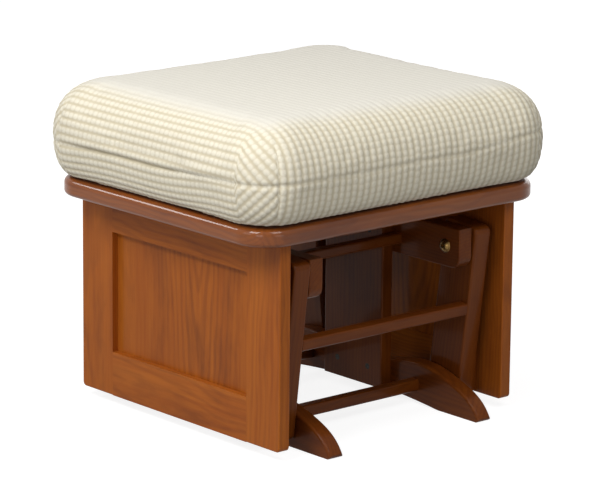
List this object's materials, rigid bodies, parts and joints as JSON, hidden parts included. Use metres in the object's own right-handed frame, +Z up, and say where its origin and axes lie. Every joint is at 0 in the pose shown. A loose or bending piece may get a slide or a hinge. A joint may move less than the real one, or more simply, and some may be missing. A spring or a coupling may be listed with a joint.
{
  "type": "glider ottoman",
  "caption": "Padded foot rest on a fixed wooden base, hung on four swing arms so that the seat glides to and fro.",
  "frame": {"origin": "on the floor under the middle of the base, with the seat at the middle of its glide", "axes": "+Z up; +X to the right side panel; the open front faces -Y, and the seat glides along Y"},
  "size_m": [0.518, 0.46, 0.4323],
  "materials": {
    "stained_wood": "cherry stain under semi-gloss lacquer",
    "dark_wood": "plain hardwood, unstained",
    "plywood": "bare plywood",
    "antique_brass": "antique brass plate",
    "zinc_steel": "zinc plate",
    "bushing_nylon": "moulded nylon",
    "chenille_fabric": "cream chenille with ribs of small tufts"
  },
  "bodies": {
    "base": {"foot_right": "stained_wood", "foot_left": "stained_wood", "upright_right": "stained_wood", "upright_left": "stained_wood", "beam_right": "stained_wood", "beam_left": "stained_wood", "lower_stretcher_front": "stained_wood", "lower_stretcher_rear": "stained_wood", "cross_bar_front": "stained_wood", "cross_bar_rear": "stained_wood", "upright_screws": "zinc_steel", "lower_stretcher_dowels": "dark_wood", "cross_bar_dowels": "dark_wood", "upper_pivot_bolts": "antique_brass", "upper_inner_washers": "zinc_steel", "upper_outer_washers": "zinc_steel", "upper_lock_nuts": "zinc_steel"},
    "front_swing": {"front_swing_arm_right": "stained_wood", "front_swing_arm_left": "stained_wood", "front_swing_stretcher": "stained_wood", "front_swing_dowels": "dark_wood", "front_swing_upper_bushings": "bushing_nylon", "front_swing_lower_bushings": "bushing_nylon"},
    "rear_swing": {"rear_swing_arm_right": "stained_wood", "rear_swing_arm_left": "stained_wood", "rear_swing_stretcher": "stained_wood", "rear_swing_dowels": "dark_wood", "rear_swing_upper_bushings": "bushing_nylon", "rear_swing_lower_bushings": "bushing_nylon"},
    "seat": {"panel_front_stile_right": "stained_wood", "panel_rear_stile_right": "stained_wood", "panel_lower_rail_right": "stained_wood", "panel_upper_rail_right": "stained_wood", "panel_field_right": "stained_wood", "cleat_right": "stained_wood", "pivot_blocks_right": "stained_wood", "top_rail_right": "stained_wood", "panel_front_stile_left": "stained_wood", "panel_rear_stile_left": "stained_wood", "panel_lower_rail_left": "stained_wood", "panel_upper_rail_left": "stained_wood", "panel_field_left": "stained_wood", "cleat_left": "stained_wood", "pivot_blocks_left": "stained_wood", "top_rail_left": "stained_wood", "top_rail_front": "stained_wood", "top_rail_rear": "stained_wood", "seat_deck": "plywood", "seat_cushion": "chenille_fabric", "lower_pivot_bolts": "zinc_steel", "lower_thin_nuts": "zinc_steel", "lower_inner_washers": "zinc_steel", "lower_outer_washers": "zinc_steel", "pivot_block_screws": "zinc_steel", "cleat_screws": "zinc_steel", "frame_screws": "zinc_steel", "deck_screws": "zinc_steel"}
  },
  "joints": [
    {"name": "front_arms_swing", "type": "hinge", "parent": "base", "child": "front_swing", "pos_m": [0, -0.158, 0.2245], "axis": [1, 0, 0], "range_deg": [-14, 14]},
    {"name": "seat_on_front_arms", "type": "hinge", "parent": "front_swing", "child": "seat", "pos_m": [0, -0.1345, 0.038], "axis": [1, 0, 0], "range_deg": [-16.5, 16.5]},
    {"name": "rear_arms_swing", "type": "hinge", "parent": "base", "child": "rear_swing", "pos_m": [0, 0.158, 0.2245], "axis": [1, 0, 0], "range_deg": [-14, 14]}
  ],
  "couplings": [
    {"joint": "seat_on_front_arms", "follows": "front_arms_swing", "ratio": -1.1725},
    {"joint": "rear_arms_swing", "follows": "front_arms_swing", "ratio": 1}
  ]
}
